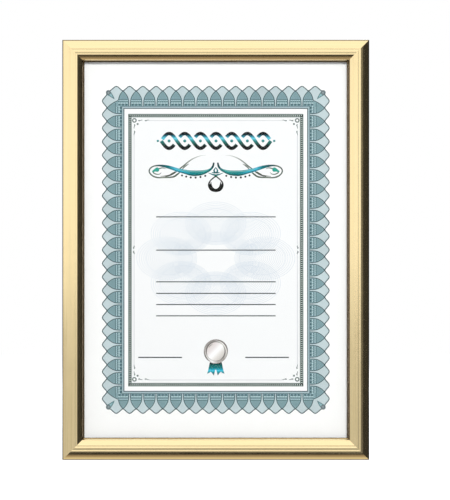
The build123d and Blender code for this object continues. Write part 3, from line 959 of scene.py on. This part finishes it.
RIBBON_SHADOW = [(36.3, 62.9, 0.1), (29.0, 60.5, 0.5), (23.6, 58.9, 0.6), (20.0, 57.9, 0.8),
                 (16.3, 57.5, 0.9), (10.9, 58.1, 0.8), (6.2, 60.2, 0.5), (3.6, 62.0, 0.2)]
RIBBON_LIGHT = [(32.7, 63.4, 0.1), (27.0, 61.6, 0.6), (23.6, 61.0, 0.7), (18.0, 60.3, 0.6),
                (12.0, 60.3, 0.6), (7.6, 61.2, 0.6), (5.2, 62.3, 0.2)]
THIRD_LINE = [(31.2, 60.2, 0.7), (34.1, 58.4, 0.9), (36.3, 57.1, 0.8), (38.9, 56.5, 0.4)]
CURL_LINE = [(38.5, 62.4, 0.2), (40.7, 63.1, 0.6), (42.9, 62.8, 0.8), (44.6, 62.2, 0.8)]
CURL_TAIL = [(48.4, 60.4, 1.0), (47.6, 59.1, 0.8), (45.4, 58.2, 0.7), (43.2, 58.4, 0.5),
             (41.9, 59.6, 0.2)]
CURL_BUD = [(43.6, 62.2), (44.4, 63.3), (45.7, 63.4), (47.2, 62.3), (48.9, 60.8), (48.9, 60.0),
            (48.1, 59.8), (46.6, 60.3), (44.8, 60.1), (43.7, 60.9)]
DOTS = [(26.0, 57.3, 0.68), (22.8, 56.4, 0.72), (19.3, 55.8, 0.74), (15.5, 55.7, 0.74),
        (11.8, 56.1, 0.72), (8.1, 57.0, 0.7)]
LEAF_LINE = [(0.0, 63.6, 0.3), (1.3, 61.3, 0.95), (0.9, 60.0, 0.9), (0.0, 59.2, 0.6)]
CROSS_LINE = [(5.8, 59.3, 0.2), (2.9, 58.2, 0.8), (1.1, 57.7, 1.1), (0.0, 57.4, 1.2)]
BAR_LINE = [(3.2, 59.6, 0.2), (1.6, 59.4, 0.8), (0.0, 59.4, 0.9)]
DROP_OUTER = [(0.0, 57.6), (1.3, 56.4), (3.4, 54.7), (5.3, 52.5), (6.05, 50.1), (5.3, 47.3),
              (3.2, 45.2), (0.0, 44.5)]
DROP_INNER = [(0.0, 56.1), (1.2, 55.3), (2.8, 53.95), (4.0, 52.7), (4.6, 51.2), (4.5, 50.5),
              (4.1, 51.3), (3.5, 52.5), (3.3, 50.9), (2.8, 49.3), (2.0, 48.0), (1.1, 47.3),
              (0.0, 47.0)]


def draw_both_hands(bm, *lines):
    """Pen lines on the right half and mirrored on the left."""
    for line in lines:
        for hand in (-1, 1):
            stroke(bm, smooth_line([(hand * x, z, PEN_WEIGHT * width) for x, z, width in line], 7))


def draw_dots(bm):
    """Row of dots under the ribbon, on both halves."""
    for x, z, radius in DOTS:
        for hand in (-1, 1):
            disc(bm, hand * x, z, DOT_WEIGHT * radius, 14)


def draw_buds(bm):
    """Bud at the end of each curl."""
    for hand in (-1, 1):
        outline(bm, [(hand * p.x, p.y) for p in smooth_line(CURL_BUD, 3, True)])


def draw_drop(bm):
    """Hanging drop, thin above and heavy below, with two small horns inside."""
    halves = [smooth_line(points, 4) for points in (DROP_OUTER, DROP_INNER)]
    fill_between(bm, *([(p.x, p.y) for p in half] + [(-p.x, p.y) for p in half[-2:0:-1]]
                       for half in halves))


hair_ink = run_ink("hair_line_ink", "X", 0.0, 52.0, [
    (0.0, 70, 110, 90), (9.0, 206, 210, 208), (20.0, 150, 156, 150), (26.0, 80, 96, 84),
    (30.0, 74, 92, 78), (42.0, 96, 108, 94), (52.0, 84, 96, 92)], mirrored=True)
ribbon_ink = run_ink("ribbon_ink", "X", 0.0, 46.0, [
    (0.0, 4, 34, 42), (2.4, 8, 60, 66), (4.0, 20, 118, 122), (8.0, 48, 152, 146),
    (14.0, 16, 122, 124), (19.0, 14, 128, 134), (26.0, 56, 176, 202), (31.0, 66, 182, 212),
    (36.0, 10, 116, 122), (41.0, 8, 70, 76), (46.0, 50, 78, 82)], mirrored=True)
for name, level, ink, *lines in (
        ("flourish_hair_lines", 2, hair_ink, HAIR_LINE, LOOP_LINE, THIRD_LINE),
        ("flourish_curls", 2, plain_ink("curl_grey_ink", 100, 116, 108), CURL_LINE, CURL_TAIL),
        ("flourish_ribbon", 3, ribbon_ink, RIBBON_LINE),
        ("flourish_ribbon_shadow", 4, plain_ink("ribbon_shadow_ink", 10, 78, 80), RIBBON_SHADOW),
        ("flourish_ribbon_light", 4, plain_ink("ribbon_light_ink", 112, 176, 172), RIBBON_LIGHT)):
    print_ink(name, draw_both_hands, level, ink, *lines)
print_ink("flourish_buds", draw_buds, 3, plain_ink("bud_green_ink", 46, 158, 142))
print_ink("flourish_dots", draw_dots, 3, plain_ink("dot_black_ink", 8, 12, 10))
print_ink("flourish_leaf", draw_both_hands, 3, plain_ink("leaf_ink", 30, 112, 118),
          LEAF_LINE, BAR_LINE, CROSS_LINE)
print_ink("flourish_drop", draw_drop, 4, run_ink("drop_ink", "Z", 44.0, 58.0, [
    (44.0, 6, 6, 4), (53.0, 12, 14, 10), (56.5, 20, 50, 34), (58.0, 60, 150, 80)]))


# Seal with two ribbon tails
SEAL_MIDDLE = (0.0, -78.2)
SEAL_TEETH = 48
RIM_RADII = (9.1, 9.5)
FIELD_RADIUS = 7.1
ARC_STEPS = 24
ARC_END_PEN = 0.12
TAILS_RIGHT = [(4.5, -8.2), (5.2, -11.3), (5.9, -14.6), (6.7, -17.2), (5.2, -16.6), (3.9, -15.7),
               (2.6, -17.0), (1.5, -18.6), (1.05, -16.8), (0.5, -14.6)]


def seal_ink(name, middle_share, stops):
    """Silvery ink whose shade turns round the seal's middle."""
    finish, tree, shader = new_finish(name)
    middle = (SEAL_MIDDLE[0] * MM, 0, SHEET_MIDDLE_Z + SEAL_MIDDLE[1] * MM)
    where = object_place(tree, middle=middle, turn=(math.radians(90), 0, 0), scale=(60, 60, 60))
    around = place(tree, "ShaderNodeTexGradient", {0: where}, gradient_type="RADIAL").outputs[1]
    shade = ramp(tree, around, [(at, colour(*rgb)) for at, *rgb in stops])
    slant = calculated(tree, "ADD", *separated(tree, where)[:2])
    sheen = ramp(tree, spread(tree, slant, -0.62, 0.62, 0.0, 1.0), [
        (0.0, colour(214, 205, 202)), (0.3, colour(232, 226, 226)), (0.52, colour(255, 255, 255)),
        (0.75, colour(226, 222, 218)), (1.0, colour(196, 190, 186))])
    on_paper_tooth(tree, shader, mixed(tree, middle_share, shade, sheen), 0.45, 0.05)
    return finish


def draw_seal_plate(bm):
    """Round plate with a toothed rim."""
    points = []
    for number in range(2 * SEAL_TEETH):
        angle = math.pi * number / SEAL_TEETH
        radius = RIM_RADII[number % 2]
        points.append((SEAL_MIDDLE[0] + radius * math.sin(angle),
                       SEAL_MIDDLE[1] + radius * math.cos(angle)))
    outline(bm, points)


def draw_seal_ring(bm, radius, width):
    """Line of one width round the seal's middle."""
    stroke(bm, round_line(SEAL_MIDDLE, (radius, radius), width), True)


def draw_seal_arcs(bm, *arcs):
    """Shadow lines that swell and fade: (radius, first degree, last degree, width)."""
    for radius, start, end, width in arcs:
        line = []
        for number in range(ARC_STEPS + 1):
            share = number / ARC_STEPS
            angle = math.radians(start + (end - start) * share)
            line.append(Vector((SEAL_MIDDLE[0] + radius * math.cos(angle),
                                SEAL_MIDDLE[1] + radius * math.sin(angle),
                                ARC_END_PEN + width * math.sin(math.pi * share))))
        stroke(bm, line)


def draw_tails(bm):
    """Two notched ribbon tails, joined under the plate."""
    left = [(-x, z) for x, z in reversed(TAILS_RIGHT)]
    outline(bm, [(SEAL_MIDDLE[0] + x, SEAL_MIDDLE[1] + z)
                 for x, z in TAILS_RIGHT + [(0.0, -13.9)] + left])


SILVER_ROUND = [(0.0, 176, 172, 168), (0.1, 132, 128, 124), (0.22, 128, 124, 120),
                (0.36, 232, 230, 226), (0.5, 226, 222, 218), (0.62, 150, 144, 140),
                (0.72, 176, 170, 166), (0.8, 238, 238, 236), (0.92, 214, 212, 208),
                (1.0, 176, 172, 168)]
print_ink("seal_tails", draw_tails, 2, run_ink("tail_ink", "Z", -97.0, -86.0, [
    (-97.0, 4, 50, 54), (-95.6, 6, 84, 90), (-94.3, 22, 136, 148), (-93.0, 66, 196, 222),
    (-91.9, 30, 150, 172), (-90.8, 8, 116, 118), (-89.0, 2, 96, 96), (-88.0, 2, 60, 58),
    (-87.0, 2, 26, 26)]))
print_ink("seal_plate", draw_seal_plate, 3, seal_ink("seal_rim_ink", 0.15, SILVER_ROUND))
print_ink("seal_ring", draw_seal_ring, 4, seal_ink("seal_ring_ink", 0.0, [
    (at, *(round(0.86 * part) for part in rgb)) for at, *rgb in SILVER_ROUND]), 7.3, 0.75)
print_ink("seal_field", disc, 5, seal_ink("seal_field_ink", 1.0, SILVER_ROUND),
          *SEAL_MIDDLE, FIELD_RADIUS, 72)
print_ink("seal_shadow_lines", draw_seal_arcs, 6, plain_ink("seal_shadow_ink", 118, 112, 110),
          (8.95, -25, 105, 0.95), (8.8, 172, 246, 0.8), (7.2, 96, 206, 0.75),
          (7.15, -62, 38, 0.8), (6.1, 112, 152, 0.3))


# Floor, light and camera
FLOOR_HALF = 4.0
FLOOR_LEVEL = -0.2 * MM
FLOOR_LIFT = 0.8
GLOSS_LIGHT_HEIGHT = 0.265
CAMERA_DISTANCE = 4.0
PICTURE_HEIGHT = 0.385
CAMERA_SIDE = 7.1 * MM
CAMERA_HEIGHT = 161.4 * MM


def seen_directly(tree, path):
    """One where the camera looks, also through the glass."""
    return calculated(tree, "MAXIMUM", path["Is Camera Ray"], path["Is Transmission Ray"])


def make_floor():
    """Pale floor that keeps the frame's shadow and meets the white background."""
    finish, tree, shader = new_finish("pale_floor")
    cloud = noise(tree, object_place(tree), 3.0, 3.0)
    fill(tree, shader, {"Base Color": mixed(tree, cloud, grey(0.72), grey(0.76)),
                        "Roughness": 0.9, "Specular IOR Level": 0.0})
    seen = seen_directly(tree, place(tree, "ShaderNodeLightPath").outputs)
    lift = place(tree, "ShaderNodeEmission",
                 {0: grey(1), 1: calculated(tree, "MULTIPLY", seen, FLOOR_LIFT)})
    both = place(tree, "ShaderNodeAddShader", {0: shader.outputs[0], 1: lift.outputs[0]})
    fill(tree, tree.nodes["Material Output"], {0: both.outputs[0]})
    bm = bmesh.new()
    bmesh.ops.create_grid(bm, x_segments=8, y_segments=8, size=FLOOR_HALF)
    bmesh.ops.translate(bm, verts=bm.verts, vec=(0, 0, FLOOR_LEVEL))
    floor = new_object(bm, "studio_floor", finish)
    floor.visible_glossy = False


def make_surroundings():
    """White background, plain light all round, and the soft studio that gloss mirrors."""
    world = bpy.data.worlds.new("studio")
    bpy.context.scene.world = world
    world.use_nodes = True
    world.cycles.sampling_method = "NONE"
    tree = world.node_tree
    direction = place(tree, "ShaderNodeTexCoord").outputs["Generated"]
    side, forward, up = separated(tree, direction)
    level = spread(tree, up, 0.05, 0.5, 0.60, 1.18)
    for way, stops in (
            (side, ((0.18, 1), (0.35, 0.93), (0.56, 0.80), (0.67, 0.50), (0.77, 0.06))),
            (forward, ((0.35, 1), (0.55, 0.15), (0.78, 0.15), (0.92, 1)))):
        shade = ramp(tree, way, [(at, grey(value)) for at, value in stops])
        level = calculated(tree, "MULTIPLY", level, shade)
    above = place(tree, "ShaderNodeCombineColor", {0: level, 1: level, 2: level}).outputs[0]
    under = ramp(tree, spread(tree, forward, -1.0, 1.0, 0.0, 1.0), [
        (0.17, (0.01, 0.01, 0.01, 1)), (0.225, (0.03, 0.027, 0.025, 1)),
        (0.26, (0.14, 0.12, 0.10, 1)), (0.30, (0.27, 0.23, 0.19, 1)),
        (0.34, (0.37, 0.31, 0.25, 1)), (0.42, (0.45, 0.38, 0.29, 1)),
        (0.51, (0.68, 0.62, 0.52, 1)), (0.60, (0.84, 0.80, 0.70, 1))])
    below = spread(tree, up, -0.70, -0.61, 1.0, 0.0)
    mirrored = mixed(tree, below, above, under)
    path = place(tree, "ShaderNodeLightPath").outputs
    shown = mixed(tree, path["Is Glossy Ray"], (0.245, 0.255, 0.27, 1), mirrored)
    shown = mixed(tree, seen_directly(tree, path), shown, grey(1))
    fill(tree, tree.nodes["Background"], {"Color": shown})


def add_soft_light(name, place_at, aim, size, power, in_gloss, in_matt, tint=(1, 1, 1)):
    """Soft box turned towards a point."""
    light = bpy.data.lights.new(name, "AREA")
    light.shape = "RECTANGLE"
    light.size, light.size_y = size
    light.energy = power
    light.color = tint
    holder = bpy.data.objects.new(name, light)
    bpy.context.scene.collection.objects.link(holder)
    holder.location = place_at
    holder.rotation_euler = (Vector(aim) - Vector(place_at)).to_track_quat("-Z", "Y").to_euler()
    holder.visible_camera = False
    holder.visible_transmission = False
    holder.visible_glossy = in_gloss
    holder.visible_diffuse = in_matt
    return holder


def keep_off_glass(*lights):
    """Let lights show in every piece except the pane."""
    group = bpy.data.collections.new("not_lit_pieces")
    group.objects.link(nodes["glass_pane"])
    group.collection_objects[0].light_linking.link_state = "EXCLUDE"
    for light in lights:
        light.light_linking.receiver_collection = group


def point_camera():
    """Far camera straight in front of the sheet, framed as the photo is."""
    camera = bpy.data.cameras.new("camera")
    camera.sensor_fit = "VERTICAL"
    camera.sensor_height = 36.0
    camera.lens = camera.sensor_height * CAMERA_DISTANCE / PICTURE_HEIGHT
    camera.clip_end = 50.0
    viewer = bpy.data.objects.new("camera", camera)
    viewer.location = (CAMERA_SIDE, -CAMERA_DISTANCE, CAMERA_HEIGHT)
    viewer.rotation_euler = (math.radians(90), 0, 0)
    scene = bpy.context.scene
    scene.collection.objects.link(viewer)
    scene.camera = viewer
    scene.view_settings.view_transform = "Standard"


make_floor()
make_surroundings()
add_soft_light("front_light", (0.48, -4.34, 1.64), SHEET_MIDDLE, (1.6, 1.1), 164.5,
               in_gloss=False, in_matt=True, tint=(1.02, 1.0, 0.985))
add_soft_light("back_light", (0.9, 2.2, 1.5), SHEET_MIDDLE, (1.2, 1.2), 38.0,
               in_gloss=True, in_matt=True)
keep_off_glass(
    add_soft_light("front_gloss_light", (0, -0.9, GLOSS_LIGHT_HEIGHT),
                   (0, 0, GLOSS_LIGHT_HEIGHT), (1.7, 0.31), 0.9, in_gloss=True, in_matt=False),
    add_soft_light("left_gloss_light", (-0.95, -0.4, GLOSS_LIGHT_HEIGHT),
                   (0, -0.4, GLOSS_LIGHT_HEIGHT), (1.1, 0.31), 0.55, in_gloss=True, in_matt=False))
point_camera()
